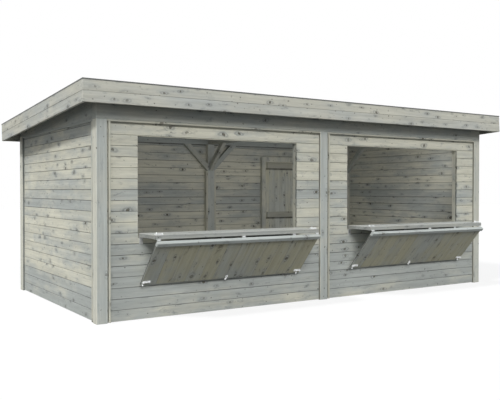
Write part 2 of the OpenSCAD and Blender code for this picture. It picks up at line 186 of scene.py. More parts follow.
class Shader:
    """The node tree of a material or of the world."""

    def __init__(self, tree: bpy.types.NodeTree) -> None:
        """Starts from an empty tree."""
        tree.nodes.clear()
        self.tree = tree

    def node(
        self,
        kind: str,
        settings: Optional[Mapping[str, Any]] = None,
        sockets: Optional[Mapping[Union[int, str], Any]] = None,
        output: Union[int, str] = 0,
    ) -> Socket:
        """Adds one node.

        Args:
            kind: the node's type.
            settings: its properties, which are set first.
            sockets: values or links of its inputs.
            output: the output that is returned.

        Returns:
            The chosen output, which is empty for a node without outputs.
        """
        made = self.tree.nodes.new(kind)
        for key, value in (settings or {}).items():
            setattr(made, key, value)
        for key, value in (sockets or {}).items():
            if isinstance(value, Socket):
                self.tree.links.new(value.output, made.inputs[key])
            else:
                made.inputs[key].default_value = value
        return Socket(self, made.outputs[output] if len(made.outputs) else None)

    def attribute(self, name: str, output: str) -> Socket:
        """Reads an attribute that a piece's mesh carries."""
        return self.node("ShaderNodeAttribute", {"attribute_name": name}, output=output)

    def place(self) -> Socket:
        """Gives the object coordinates."""
        return self.node("ShaderNodeTexCoord", output="Object")

    def vector(self, operation: str, first: Any, second: Any, output: str = "Vector") -> Socket:
        """Adds one Vector Math node on two vectors and returns its result."""
        return self.node("ShaderNodeVectorMath", {"operation": operation}, {0: first, 1: second}, output)

    def stretch(self, vector: Socket, scale: Triple) -> Socket:
        """Scales a vector by three factors."""
        return self.vector("MULTIPLY", vector, scale)

    def length(self, vector: Socket) -> Socket:
        """Measures a vector."""
        return self.vector("LENGTH", vector, (0.0, 0.0, 0.0), "Value")

    def noise(self, vector: Socket, scale: float, detail: float, roughness: float = 0.5) -> Socket:
        """Gives fractal noise from 0 to 1."""
        sockets = {"Vector": vector, "Scale": scale, "Detail": detail, "Roughness": roughness}
        return self.node("ShaderNodeTexNoise", {"noise_dimensions": "3D"}, sockets)

    def remap(self, value: Value, low: float, high: float, start: float, end: float) -> Socket:
        """Eases a value from the range low to high into the range start to end."""
        sockets = {0: value, 1: low, 2: high, 3: start, 4: end}
        return self.node("ShaderNodeMapRange", {"interpolation_type": "SMOOTHSTEP"}, sockets)

    def rise(self, value: Value, low: float, high: float) -> Socket:
        """Eases a value from the range low to high into 0 to 1."""
        return self.remap(value, low, high, 0.0, 1.0)

    def fade(self, value: Value, low: float, high: float) -> Socket:
        """Eases a value from the range low to high into 1 to 0."""
        return self.remap(value, low, high, 1.0, 0.0)

    def mix(self, share: Value, first: Any, second: Any, mode: str = "MIX") -> Socket:
        """Mixes two colours.

        Args:
            share: how much of the second colour is taken.
            first: a colour or a link to one.
            second: a colour or a link to one.
            mode: how the second is laid on the first.

        Returns:
            The mixed colour.
        """
        ends = [end if isinstance(end, Socket) else (*end, 1.0) for end in (first, second)]
        settings = {"data_type": "RGBA", "blend_type": mode}
        return self.node("ShaderNodeMix", settings, {0: share, 6: ends[0], 7: ends[1]}, output=2)

    def scaled(self, colour: Any, factor: Socket) -> Socket:
        """Darkens or brightens a colour by a varying factor."""
        grey = self.node("ShaderNodeCombineColor", None, {0: factor, 1: factor, 2: factor})
        return self.mix(1.0, colour, grey, "MULTIPLY")

    def bump(self, strength: float, relief: float, height: Socket) -> Socket:
        """Gives the normal of a surface with a fine relief, in metres."""
        sockets = {"Strength": strength, "Distance": relief, "Height": height}
        return self.node("ShaderNodeBump", None, sockets)

    def surface(self, sockets: Mapping[str, Any]) -> None:
        """Ends a material with one Principled shader."""
        shader = self.node("ShaderNodeBsdfPrincipled", None, sockets)
        self.node("ShaderNodeOutputMaterial", None, {"Surface": shader})


def new_material(name: str) -> Tuple[bpy.types.Material, Shader]:
    """Makes an empty node material.

    Args:
        name: the material's name.

    Returns:
        The material, and the shader that fills it.
    """
    material = bpy.data.materials.new(name)
    material.use_nodes = True
    return material, Shader(material.node_tree)


@dataclass(frozen=True)
class Texture:
    """Noise that changes faster in one direction than in another.

    Attributes:
        scale: changes in a metre, by direction.
        detail: number of finer layers.
        roughness: weight of the finer layers.
    """

    scale: Triple
    detail: float
    roughness: float = 0.5

    def at(self, place: Socket) -> Socket:
        """Gives the noise at a place, from 0 to 1."""
        stretched = place.shader.stretch(place, self.scale)
        return place.shader.noise(stretched, 1.0, self.detail, self.roughness)


@dataclass(frozen=True)
class Warp:
    """A push that moves places about at random.

    Attributes:
        push: the noise that it follows.
        reach: how far a place is pushed, in metres.
    """

    push: Texture
    reach: float

    def moved(self, place: Socket) -> Socket:
        """Pushes a place.

        Args:
            place: the place, in metres.

        Returns:
            The moved place.
        """
        shader = place.shader
        centred = shader.vector("SUBTRACT", self.push.at(place).sibling("Color"), (0.5, 0.5, 0.5))
        return shader.vector("ADD", place, shader.stretch(centred, (2.0 * self.reach,) * 3))


@dataclass(frozen=True)
class KnotField:
    """Places for knots, spread over the boards.

    Attributes:
        pitch: places in a metre along and across the grain.
        radius: the smallest radius and what chance adds to it, in metres.
        scatter: how far the places stray from a square grid.
        squash: share of a length along the grain that counts for a knot's outline.
        trail: share of it that counts for the grain that runs round a knot.
    """

    pitch: Tuple[float, float]
    radius: Tuple[float, float]
    scatter: float = 0.85
    squash: float = 0.75
    trail: float = 0.38

    def find(self, grain: Socket, share: float, growth: float) -> Tuple[Socket, Socket, Socket]:
        """Finds the knots round a point of the surface.

        Args:
            grain: the place along and across the grain, in metres.
            share: how many of the places hold a knot.
            growth: how much larger than usual the knots are.

        Returns:
            The distance past the rim of the nearest place, in metres, the same distance drawn out along the
            grain, and how strongly the place shows a knot.
        """
        shader = grain.shader
        place = shader.stretch(grain, (*self.pitch, 1.0))
        spot = shader.node(
            "ShaderNodeTexVoronoi",
            {"voronoi_dimensions": "2D", "feature": "F1"},
            {"Vector": place, "Scale": 1.0, "Randomness": self.scatter},
            "Position",
        )
        draw = shader.node("ShaderNodeSeparateColor", None, {0: spot.sibling("Color")})
        offset = shader.vector("SUBTRACT", place, spot)
        along, across = (1.0 / pitch for pitch in self.pitch)
        near = shader.length(shader.stretch(offset, (self.squash * along, across, 0.0)))
        drawn_out = shader.length(shader.stretch(offset, (self.trail * along, across, 0.0)))
        low, more = (growth * part for part in self.radius)
        size = low + more * draw.sibling("Green")
        strength = (draw > 1.0 - share) * (0.5 + 0.5 * draw.sibling("Blue"))
        return near - size, drawn_out - size, strength


# The wood's streaks, patches and dirt, and how unevenly the joints' dirt and the painted shade darken it, by
# metre along and across the grain, and the clouds of grey that go on from board to board.
FIBRES = Texture((4.5, 85.0, 85.0), 4.0, 0.62)
BANDS = Texture((0.8, 26.0, 26.0), 3.0, 0.55)
PATCHES = Texture((1.7, 7.0, 7.0), 3.0, 0.55)
SMUDGES = Texture((6.0, 19.0, 19.0), 4.0, 0.65)
UNEVENNESS = Texture((3.0, 3.0, 3.0), 2.0)
CLOUDS = Texture((1.5, 1.5, 3.2), 4.0, 0.6)

# The bends that keep knots from being round, broad ones and fine ones.
BEND = Warp(Texture((7.0, 11.0, 11.0), 2.0), 0.035)
FRAY = Warp(Texture((60.0, 60.0, 60.0), 2.0), 0.006)

BIG_KNOTS = KnotField((4.2, 6.5), (0.005, 0.013))
SMALL_KNOTS = KnotField((9.0, 13.0), (0.002, 0.005))

# Where the parts of a knot fade out, in metres past its rim, and how close the rings round it lie.
KNOT_CORE = (-0.002, 0.0025)
KNOT_HALO = (-0.004, 0.028)
KNOT_HEART = (-0.009, -0.001)
SMALL_CORE = (-0.001, 0.002)
RING_RATE = 330.0


@dataclass(frozen=True)
class WoodFinish:
    """Weathered softwood that follows a piece's grain, tone and seam attributes; seam darkens the joints with
    dirt and other places with painted shade.

    Attributes:
        name: the material's name.
        warm: colour of sound, beige wood.
        cool: colour of wood that the weather has turned grey.
        drift: how far warm and cool patches wander over the timbers.
        streak: contrast of the grain.
        knots: share of the places for a large knot that hold one.
        dots: share of the places for a small knot that hold one.
        growth: how much larger than usual the knots are.
        seam: how dark the joints' dirt and the painted shade make the wood.
        stain: how dark the smudges are.
        roughness: mean roughness.
        relief: height of the grain, in metres.
        heart: colour of the middle of a knot.
        bark: colour of the rim of a knot.
    """

    name: str
    warm: Colour
    cool: Colour
    drift: float = 1.7
    streak: float = 0.42
    knots: float = 0.5
    dots: float = 0.22
    growth: float = 1.0
    seam: float = 0.9
    stain: float = 0.34
    roughness: float = 0.8
    relief: float = 0.0015
    heart: Colour = (0.11, 0.095, 0.07)
    bark: Colour = (0.075, 0.072, 0.06)

    def _grown(self, shader: Shader, grain: Socket, light: Socket) -> Tuple[Socket, Socket]:
        """Lays colour on the grain, with its knots.

        Args:
            shader: the tree that the nodes go in.
            grain: the place along and across the grain, in metres.
            light: how light or dark the streaks make the wood.

        Returns:
            The colour, and how much of a knot is there.
        """
        bent = FRAY.moved(BEND.moved(grain))
        rim, long_rim, held = BIG_KNOTS.find(bent, self.knots, self.growth)
        core = shader.fade(rim, *KNOT_CORE) * held
        halo = shader.fade(long_rim, *KNOT_HALO) * held
        rings = (RING_RATE * long_rim).sine()
        small_rim, _, small_held = SMALL_KNOTS.find(bent, self.dots, self.growth)
        small = shader.fade(small_rim, *SMALL_CORE) * small_held

        patches = PATCHES.at(grain)
        stain = shader.rise(SMUDGES.at(bent), 0.55, 0.8)
        wander = CLOUDS.at(shader.place()) + 0.8 * patches - 0.9
        tone = shader.attribute("tone", "Fac")
        grey = shader.rise(tone + self.drift * wander + 0.3 * halo + 0.4 * stain, 0.0, 1.0)
        colour = shader.mix(grey, self.warm, self.cool)
        shade = (1.0 - 0.2 * halo - 0.2 * halo * rings) * (1.0 - self.stain * stain)
        light = light * shade + 0.5 * self.streak * (patches - 0.5)
        colour = shader.scaled(colour, light)
        knot = shader.mix(shader.fade(rim, *KNOT_HEART), self.bark, self.heart)
        colour = shader.mix(0.75 * small, colour, self.bark)
        return shader.mix(0.9 * core, colour, knot), core.most(0.6 * small)

    def material(self) -> bpy.types.Material:
        """Builds the node material.

        Returns:
            The material.
        """
        material, shader = new_material(self.name)
        grain = shader.attribute("grain", "Vector")
        seam = shader.attribute("seam", "Fac")
        fibres, bands = FIBRES.at(grain), BANDS.at(grain)
        light = 1.0 + self.streak * ((fibres - 0.5) + 1.2 * (bands - 0.5))
        colour, knot = self._grown(shader, grain, light)
        # Darkening by the seam attribute: dirt in the joints, and painted shade on post reveals, ends, and
        # below ledges and battens.
        darkening = self.seam * seam * (0.45 + 1.1 * UNEVENNESS.at(grain))
        shader.surface({
            "Base Color": shader.scaled(colour, 1.0 - darkening),
            "Roughness": self.roughness + 0.15 * (fibres - 0.5),
            "Specular IOR Level": 0.25,
            "Normal": shader.bump(0.35, self.relief, fibres + 0.5 * bands - 0.4 * knot),
        })
        return material


@dataclass(frozen=True)
class SteelFinish:
    """Galvanised steel with faint spangle and dull stains.

    Attributes:
        name: the material's name.
        bright: colour of the clean zinc.
        dull: colour of the stained zinc.
        spangle: scale of the spangle.
        blotch: scale of the stains.
    """

    name: str
    bright: Colour
    dull: Colour
    spangle: float = 140.0
    blotch: float = 26.0

    def material(self) -> bpy.types.Material:
        """Builds the node material.

        Returns:
            The material.
        """
        material, shader = new_material(self.name)
        place = shader.place()
        cells = {"Vector": place, "Scale": self.spangle}
        spangle = shader.node("ShaderNodeTexVoronoi", {"feature": "F1"}, cells, "Color")
        flake = shader.node("ShaderNodeSeparateColor", None, {0: spangle})
        stain = shader.noise(place, self.blotch, 4.0)
        colour = shader.mix(shader.rise(stain, 0.45, 0.75), self.bright, self.dull)
        shader.surface({
            "Base Color": shader.scaled(colour, 0.94 + 0.12 * flake),
            "Metallic": 0.85,
            "Roughness": 0.34 + 0.18 * stain + 0.06 * flake,
        })
        return material


@dataclass(frozen=True)
class CoatedFinish:
    """Dark coated sheet or grained roofing sheet, paler where a piece's tone is higher.

    Attributes:
        name: the material's name.
        base: mean colour.
        worn: colour of dusty or rubbed places.
        grit: scale of the grains.
        relief: height of the grains, in metres.
        roughness: mean roughness.
        dust: scale of the dust.
    """

    name: str
    base: Colour
    worn: Colour
    grit: float
    relief: float
    roughness: float
    dust: float = 2.2

    def material(self) -> bpy.types.Material:
        """Builds the node material.

        Returns:
            The material.
        """
        material, shader = new_material(self.name)
        place = shader.place()
        grit = shader.noise(place, self.grit, 2.0)
        dust = shader.noise(place, self.dust, 5.0, 0.6)
        wear = dust + 0.6 * (shader.attribute("tone", "Fac") - 0.5)
        colour = shader.mix(shader.remap(wear, 0.4, 0.75, 0.0, 0.8), self.base, self.worn)
        shader.surface({
            "Base Color": shader.scaled(colour, 0.75 + 0.5 * grit),
            "Roughness": self.roughness + 0.12 * (dust - 0.5),
            "Normal": shader.bump(0.5, self.relief, grit),
        })
        return material


Finish = Union[WoodFinish, SteelFinish, CoatedFinish]

FINISHES: Dict[Slot, Finish] = {
    Slot.POST: WoodFinish(
        "grey_post", (0.56, 0.555, 0.48), (0.42, 0.445, 0.425), drift=1.0, knots=0.2, dots=0.4, stain=0.2
    ),
    Slot.BEAM: WoodFinish("grey_beam", (0.46, 0.46, 0.40), (0.35, 0.375, 0.36), knots=0.4, dots=0.4),
    Slot.BOARD: WoodFinish(
        "wall_boards", (0.61, 0.595, 0.495), (0.385, 0.405, 0.385), knots=0.42, dots=0.35
    ),
    Slot.TRIM: WoodFinish("pale_trim", (0.53, 0.52, 0.435), (0.40, 0.42, 0.395)),
    Slot.LEAF: WoodFinish("leaf_boards", (0.60, 0.585, 0.46), (0.50, 0.515, 0.475), stain=0.5),
    # The deck is nearly black, as painted shade for the roof's underside and the soffit.
    Slot.DECK: WoodFinish("deck_boards", (0.07, 0.068, 0.056), (0.056, 0.057, 0.051)),
    Slot.COVERING: CoatedFinish(
        "roofing_sheet", (0.075, 0.078, 0.075), (0.15, 0.15, 0.14), 420.0, 0.0012, 0.9
    ),
    Slot.EDGE_METAL: CoatedFinish(
        "edge_sheet", (0.10, 0.105, 0.10), (0.16, 0.16, 0.15), 900.0, 0.0002, 0.5
    ),
    Slot.STEEL: SteelFinish("galvanised_steel", (0.80, 0.81, 0.81), (0.50, 0.52, 0.52)),
}
FASCIA_WOOD = WoodFinish(
    "fascia_boards", (0.50, 0.49, 0.42), (0.385, 0.40, 0.38), drift=1.4, knots=0.75, dots=0.5, stain=0.4
)
COUNTER_WOOD = WoodFinish(
    "counter_boards", (0.465, 0.465, 0.415), (0.41, 0.425, 0.405), dots=0.5, seam=0.7
)
FLAP_WOOD = WoodFinish(
    "flap_boards", (0.40, 0.385, 0.285), (0.355, 0.37, 0.34),
    streak=0.36, knots=0.3, dots=0.1, growth=1.4, stain=0.6,
)
LEDGE_WOOD = WoodFinish("door_ledges", (0.42, 0.41, 0.34), (0.36, 0.37, 0.35))
RAIL_WOOD = WoodFinish("rail_timber", (0.42, 0.43, 0.40), (0.39, 0.415, 0.40), knots=0.3)


class Finishes:
    """The node materials, each made when first asked for."""

    def __init__(self) -> None:
        """Starts with none made."""
        self._made: Dict[str, bpy.types.Material] = {}

    def get(self, finish: Finish) -> bpy.types.Material:
        """Gives a finish's material.

        Args:
            finish: the finish.

        Returns:
            The one material of that finish.
        """
        if finish.name not in self._made:
            self._made[finish.name] = finish.material()
        return self._made[finish.name]


def add_object(name: str, data: bpy.types.ID) -> bpy.types.Object:
    """Adds an object to the scene.

    Args:
        name: the object's name.
        data: its mesh, lamp or camera.

    Returns:
        The object.
    """
    made = bpy.data.objects.new(name, data)
    bpy.context.scene.collection.objects.link(made)
    return made


def mesh_data(name: str, mesh: bmesh.types.BMesh) -> bpy.types.Mesh:
    """Ends the modelling of a mesh.

    Args:
        name: the name of the mesh data.
        mesh: the modelled mesh, which is freed.

    Returns:
        The mesh data.
    """
    data = bpy.data.meshes.new(name)
    mesh.to_mesh(data)
    mesh.free()
    return data


def stand_in(node: str, kind: str, mesh: bmesh.types.BMesh, material: bpy.types.Material) -> None:
    """Makes the piece that replaces a CAD node and rides on its body.

    Args:
        node: the CAD node.
        kind: what it is made of, which ends its name.
        mesh: its shape, which is freed.
        material: its finish.
    """
    name = f"{node}_{kind}"
    data = mesh_data(name, mesh)
    data.materials.append(material)
    made = add_object(name, data)
    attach(made, NODE_BODY[node])
    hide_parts(node)
    LOG.info("%s: %d faces, replaces %s", name, len(data.polygons), node)


def dress(node: str, finishes: Finishes) -> None:
    """Gives a CAD node that stays its slot's material.

    Args:
        node: the CAD node.
        finishes: where the material comes from.
    """
    data = frame["nodes"][node].data
    data.materials.clear()
    data.materials.append(finishes.get(FINISHES[NODE_SLOT[node]]))
    LOG.info("%s keeps its shape", node)


def merged_copy(node: str) -> bmesh.types.BMesh:
    """Copies a CAD node's mesh.

    Args:
        node: the CAD node.

    Returns:
        The copy, with its triangles merged into whole flat faces.
    """
    mesh = bmesh.new()
    mesh.from_mesh(frame["nodes"][node].data)
    bmesh.ops.remove_doubles(mesh, verts=mesh.verts[:], dist=SAME_POINT)
    bmesh.ops.dissolve_limit(mesh, angle_limit=SAME_FACE, verts=mesh.verts[:], edges=mesh.edges[:])
    return mesh


def islands(mesh: bmesh.types.BMesh) -> List[List[bmesh.types.BMVert]]:
    """Finds the separate solids of a mesh.

    Args:
        mesh: the mesh.

    Returns:
        The vertices of each solid.
    """
    left = set(mesh.verts)
    found = []
    for vert in mesh.verts:
        if vert not in left:
            continue
        left.discard(vert)
        group, queue = [], [vert]
        while queue:
            here = queue.pop()
            group.append(here)
            for edge in here.link_edges:
                there = edge.other_vert(here)
                if there in left:
                    left.discard(there)
                    queue.append(there)
        found.append(group)
    return found


def edges_at(verts: Sequence[bmesh.types.BMVert]) -> List[bmesh.types.BMEdge]:
    """Gives the edges that meet at some vertices, in the same order each run."""
    return list(dict.fromkeys(edge for vert in verts for edge in vert.link_edges))


def faces_at(verts: Sequence[bmesh.types.BMVert]) -> List[bmesh.types.BMFace]:
    """Gives the faces that meet at some vertices, in the same order each run."""
    return list(dict.fromkeys(face for vert in verts for face in vert.link_faces))


def broadest(faces: Sequence[bmesh.types.BMFace]) -> bmesh.types.BMFace:
    """Gives the largest of some faces."""
    return max(faces, key=lambda face: face.calc_area())


def longest_way(edges: Sequence[bmesh.types.BMEdge]) -> Vector:
    """Gives the direction that the longest of some edges runs in."""
    longest = max(edges, key=lambda edge: edge.calc_length())
    return (longest.verts[1].co - longest.verts[0].co).normalized()


def box_round(points: Sequence[Vector]) -> Box:
    """Gives the lowest and highest corner of the box round some points."""
    return tuple(Vector([pick(point[i] for point in points) for i in range(3)]) for pick in (min, max))


def middle_of(verts: Sequence[bmesh.types.BMVert]) -> Vector:
    """Gives the middle of the box round some vertices."""
    low, high = box_round([vert.co for vert in verts])
    return Vector([(low[i] + high[i]) / 2 for i in range(3)])


def stretched_cube(low: Vector, high: Vector) -> Matrix:
    """Gives the move that makes a unit cube fill the box between two corners."""
    return Matrix.Translation((low + high) / 2) @ Matrix.Diagonal((*(high - low), 1.0))


def facing(way: Vector) -> Matrix:
    """Gives the turn that takes an upright shape to a direction."""
    return way.to_track_quat("Z", "Y").to_matrix().to_4x4()


def ease_edges(
    mesh: bmesh.types.BMesh, edges: Sequence[bmesh.types.BMEdge], width: float, segments: int
) -> None:
    """Bevels some edges.

    Args:
        mesh: the mesh that they are in.
        edges: the edges.
        width: how far the bevel reaches from an edge.
        segments: number of faces across the bevel.
    """
    bmesh.ops.bevel(
        mesh, geom=edges, offset=width, offset_type="OFFSET", segments=segments, profile=0.5,
        affect="EDGES", clamp_overlap=True, material=-1,
    )


def slope_of(node: str) -> Matrix:
    """Finds the slope that a CAD node lies on.

    Args:
        node: a node whose broadest face is level along X.

    Returns:
        The turn about X that takes a level timber to that slope.
    """
    mesh = merged_copy(node)
    normal = broadest(mesh.faces).normal.copy()
    mesh.free()
    if normal.z < 0:
        normal.negate()
    return Matrix.Rotation(math.atan2(-normal.y, normal.z), 3, "X")


def between(profile: Profile, place: float) -> float:
    """Reads a profile.

    Args:
        profile: places in rising order, each with its value.
        place: where it is read.

    Returns:
        The value there, on a straight line between two places of the profile.
    """
    for (first, low), (last, high) in zip(profile, profile[1:]):
        if place <= last:
            return low + (high - low) * max(0.0, place - first) / (last - first)
    return profile[-1][1]


def solid_boxes(node: str, lie: Matrix) -> List[Box]:
    """Measures the solids of a CAD node in a turned frame.

    Args:
        node: the CAD node.
        lie: the turn from level to the slope that its solids lie on.

    Returns:
        The lowest and highest corner of each solid in the turned frame.
    """
    mesh = merged_copy(node)
    flat = lie.transposed()
    boxes = [box_round([flat @ vert.co for vert in group]) for group in islands(mesh)]
    mesh.free()
    return boxes


@dataclass(frozen=True)
class LedgeShade:
    """Painted shadow: a dark line below a lower edge, on faces that look to the front.

    Attributes:
        height: height of the edge.
        depth: how far the line reaches down.
        painted_shade: how dark the painted shadow is.
        fade: share of the dark that is gone at its lower end.
    """

    height: float
    depth: float
    painted_shade: float
    fade: float = 0.5

    def at(self, face: bmesh.types.BMFace, height: float) -> float:
        """Tells how dark a corner of a face is.

        Args:
            face: the face.
            height: the height of the corner.

        Returns:
            More than 0 only on a face that looks to the front, just below the edge.
        """
        middle = face.calc_center_median().z
        if face.normal.y > LOOKS_FRONT or not self.height - self.depth < middle < self.height:
            return 0.0
        return self.painted_shade * (1.0 - self.fade * (self.height - height) / self.depth)


@dataclass
class Timberwork:
    """Timbers that stand for one CAD node, joined in one mesh, each with its own grain and tone.

    Attributes:
        node: the CAD node.
        ease: width of the eased edges, in metres.
        lie: the turn from level to the slope that the timbers lie on.
        easing: which edges are eased.
        grey: mean tone, from 0, warm, to 1, grey.
        spread: how much the tone differs from timber to timber.
        heights: the mean tone at some heights, in place of grey, for boards that lie in courses.
        batch: name of the courses, so that a board goes on past an opening into another node.
        side_tone: what the tone changes by on the faces that look along X.
        panels: the box of the boards' outer faces, where the timbers are posts that stand proud of them.
        course_tones: the mean tone of each board in turn, in place of grey.
        ledges: painted shadows below lower edges.
        finish: its wood, where that isn't its slot's.
        end_shade: how much painted shade darkens the faces that look along X.
        joint_dirt: how dirty the joints between boards are.
        mesh: the timbers so far.
    """

    node: str
    ease: float
    lie: Matrix = field(default_factory=lambda: LEVEL.copy())
    easing: Easing = Easing.ALL
    grey: float = 0.5
    spread: float = 0.5
    heights: Optional[Profile] = None
    batch: Optional[str] = None
    side_tone: float = 0.0
    panels: Optional[Box] = None
    course_tones: Optional[Tuple[float, ...]] = None
    ledges: Tuple[LedgeShade, ...] = ()
    finish: Optional[WoodFinish] = None
    end_shade: float = 0.0
    joint_dirt: float = 1.0
    mesh: bmesh.types.BMesh = field(default_factory=bmesh.new)

    def __post_init__(self) -> None:
        """Starts the piece's own random numbers, with no joints between boards."""
        self.chance = random.Random(self.node)
        self.across = Axis.Z
        self.start, self.pitch = 0.0, 1.0
        self.joints: List[float] = []

    def copy_solids(self) -> "Timberwork":
        """Takes over the node's solids as they are.

        Returns:
            The timbers themselves.
        """
        self.mesh.free()
        self.mesh = merged_copy(self.node)
        return self

    def board(self, low: Vector, high: Vector) -> None:
        """Adds one square-edged timber between two corners in the turned frame."""
        place = self.lie.to_4x4() @ stretched_cube(low, high)
        bmesh.ops.create_cube(self.mesh, size=1.0, matrix=place)

    def courses(self, box: Box, across: Axis, start: float, pitch: float) -> None:
        """Splits a slab into boards that lie side by side.

        Args:
            box: the slab's corners in the turned frame.
            across: the direction across the boards.
            start: where one joint between boards lies.
            pitch: width of a board.
        """
        low, high = box
        axis = across.value
        self.across, self.start, self.pitch = across, start, pitch
        index = math.floor((low[axis] - start) / pitch + SLIVER)
        while start + index * pitch < high[axis] - SLIVER:
            first, last = low.copy(), high.copy()
            first[axis] = max(low[axis], start + index * pitch)
            last[axis] = min(high[axis], start + (index + 1) * pitch)
            if first[axis] > low[axis]:
                self.joints.append(first[axis])
            self.board(first, last)
            index += 1

    def split_evenly(self, box: Box, across: Axis, count: int) -> None:
        """Splits a slab into a number of boards of the same width."""
        low, high = (corner[across.value] for corner in box)
        self.courses(box, across, low, (high - low) / count)

    def _spot(self, point: Vector) -> float:
        """Measures a point across the boards."""
        return (self.lie.transposed() @ point)[self.across.value]

    def _joint_share(self, point: Vector) -> float:
        """Tells how near a point is to a joint, from 1, at it, to 0, an eased edge's width away."""
        nearest = min((abs(self._spot(point) - joint) for joint in self.joints), default=self.ease)
        return max(0.0, 1.0 - nearest / self.ease) if self.ease > 0 else 0.0

    def _runs_along_joint(self, edge: bmesh.types.BMEdge) -> bool:
        """Tells a board's long edge at a joint from its other edges.

        Args:
            edge: an edge of a board.

        Returns:
            Whether the edge is a long one at a joint.
        """
        start, end = (self._spot(vert.co) for vert in edge.verts)
        at_joint = self._joint_share(edge.verts[0].co) > AT_JOINT and abs(end - start) < self.ease
        return at_joint and edge.calc_length() > BOARD_END

    def _cut(self, point: Vector, normal: Vector) -> None:
        """Cuts the timbers' faces along a plane."""
        cut = self.mesh.verts[:] + self.mesh.edges[:] + self.mesh.faces[:]
        bmesh.ops.bisect_plane(self.mesh, geom=cut, dist=SAME_PLANE, plane_co=point, plane_no=normal)

    def _split_at_panels(self) -> None:
        """Cuts the posts' faces where the boards meet them."""
        for corner in self.panels:
            for axis in (Axis.X, Axis.Y):
                self._cut(corner, LEVEL[axis.value])

    def _split_at_ledges(self) -> None:
        """Cuts the faces where the dark below each ledge starts and ends."""
        for ledge in self.ledges:
            for height in (ledge.height, ledge.height - ledge.depth):
                self._cut(height * UP, UP)

    def _character(self, middle: Vector) -> Tuple[float, Vector, float]:
        """Draws what tells one timber from another.

        Args:
            middle: the middle of the timber.

        Returns:
            Its tone, the shift of its grain, and how dirty its joints are.
        """
        chance, mean = self.chance, self.grey
        course = math.floor((self._spot(middle) - self.start) / self.pitch + SLIVER)
        if self.course_tones is not None:
            mean = self.course_tones[course % len(self.course_tones)]
        if self.batch is not None:
            chance = random.Random(f"{self.batch}{course}")
            mean = between(self.heights, self.start + (course + 0.5) * self.pitch)
        tone = mean + self.spread * (chance.random() - 0.5)
        shift = Vector([GRAIN_SHIFT * chance.random() for _ in range(3)])
        return tone, shift, self.joint_dirt * (LEAST_DIRT + (1.0 - LEAST_DIRT) * chance.random())

    def _painted_shade(self, face: bmesh.types.BMFace) -> float:
        """Finds how much painted shade darkens a face.

        Args:
            face: a face of the mesh.

        Returns:
            More than 0 only on an end with painted shade, and on the sides of a post that stand in front of
            the boards, where painted shade stands in for the recess's shadow.
        """
        along_x, along_y = (abs(face.normal[i]) > SQUARE_ON for i in range(2))
        if self.panels is None:
            return self.end_shade if along_x else 0.0
        low, high = self.panels
        middle = face.calc_center_median()
        within_x, within_y = (low[i] < middle[i] < high[i] for i in range(2))
        across_x = along_x and within_x and not within_y
        across_y = along_y and within_y and not within_x
        return REVEAL_SHADE if across_x or across_y else 0.0

    def _mark_timber(self, group: Sequence[bmesh.types.BMVert]) -> None:
        """Writes the grain, tone and seam attributes of one timber; seam holds the joints' dirt and the
        painted shade.

        Args:
            group: the timber's vertices.
        """
        grain = self.mesh.verts.layers.float_vector["grain"]
        tone = self.mesh.loops.layers.float["tone"]
        seam = self.mesh.loops.layers.float["seam"]
        faces = faces_at(group)
        along = longest_way(edges_at(group))
        depth = broadest(faces).normal.copy()
        for way in (along, depth):
            if way[max(range(3), key=lambda i: abs(way[i]))] < 0:
                way.negate()
        across = depth.cross(along).normalized()
        own_tone, shift, darkening = self._character(middle_of(group))
        for vert in group:
            deep = vert.co.dot(depth)
            vert[grain] = Vector((vert.co.dot(along), vert.co.dot(across) + deep, deep)) + shift
        for face in faces:
            painted_shade = self._painted_shade(face)
            side = abs(face.normal.x) * self.side_tone
            for loop in face.loops:
                loop[tone] = own_tone + side
                # A corner's seam value is the most of the joint's dirt, the painted shade on ends and
                # reveals, and the painted shadow below ledges.
                below = max((ledge.at(face, loop.vert.co.z) for ledge in self.ledges), default=0.0)
                loop[seam] = max(painted_shade, below, darkening * self._joint_share(loop.vert.co))

    def _mark(self) -> None:
        """Writes the attributes of every timber."""
        self.mesh.verts.layers.float_vector.new("grain")
        for name in ("tone", "seam"):
            self.mesh.loops.layers.float.new(name)
        self.mesh.normal_update()
        timbers = islands(self.mesh)
        for group in sorted(timbers, key=lambda group: [round(part, 3) for part in middle_of(group)]):
            self._mark_timber(group)

    def piece(self, kind: str, finishes: Finishes) -> None:
        """Eases the edges and makes the piece that replaces the node.

        Args:
            kind: what the piece is made of, which ends its name.
            finishes: where its material comes from.
        """
        if self.panels is not None:
            self._split_at_panels()
        if self.easing is not Easing.NONE:
            edges = self.mesh.edges[:]
            if self.easing is Easing.JOINTS:
                edges = [edge for edge in edges if self._runs_along_joint(edge)]
            ease_edges(self.mesh, edges, self.ease, segments=1)
        self._split_at_ledges()
        bmesh.ops.recalc_face_normals(self.mesh, faces=self.mesh.faces[:])
        self._mark()
        finish = self.finish or FINISHES[NODE_SLOT[self.node]]
        stand_in(self.node, kind, self.mesh, finishes.get(finish))


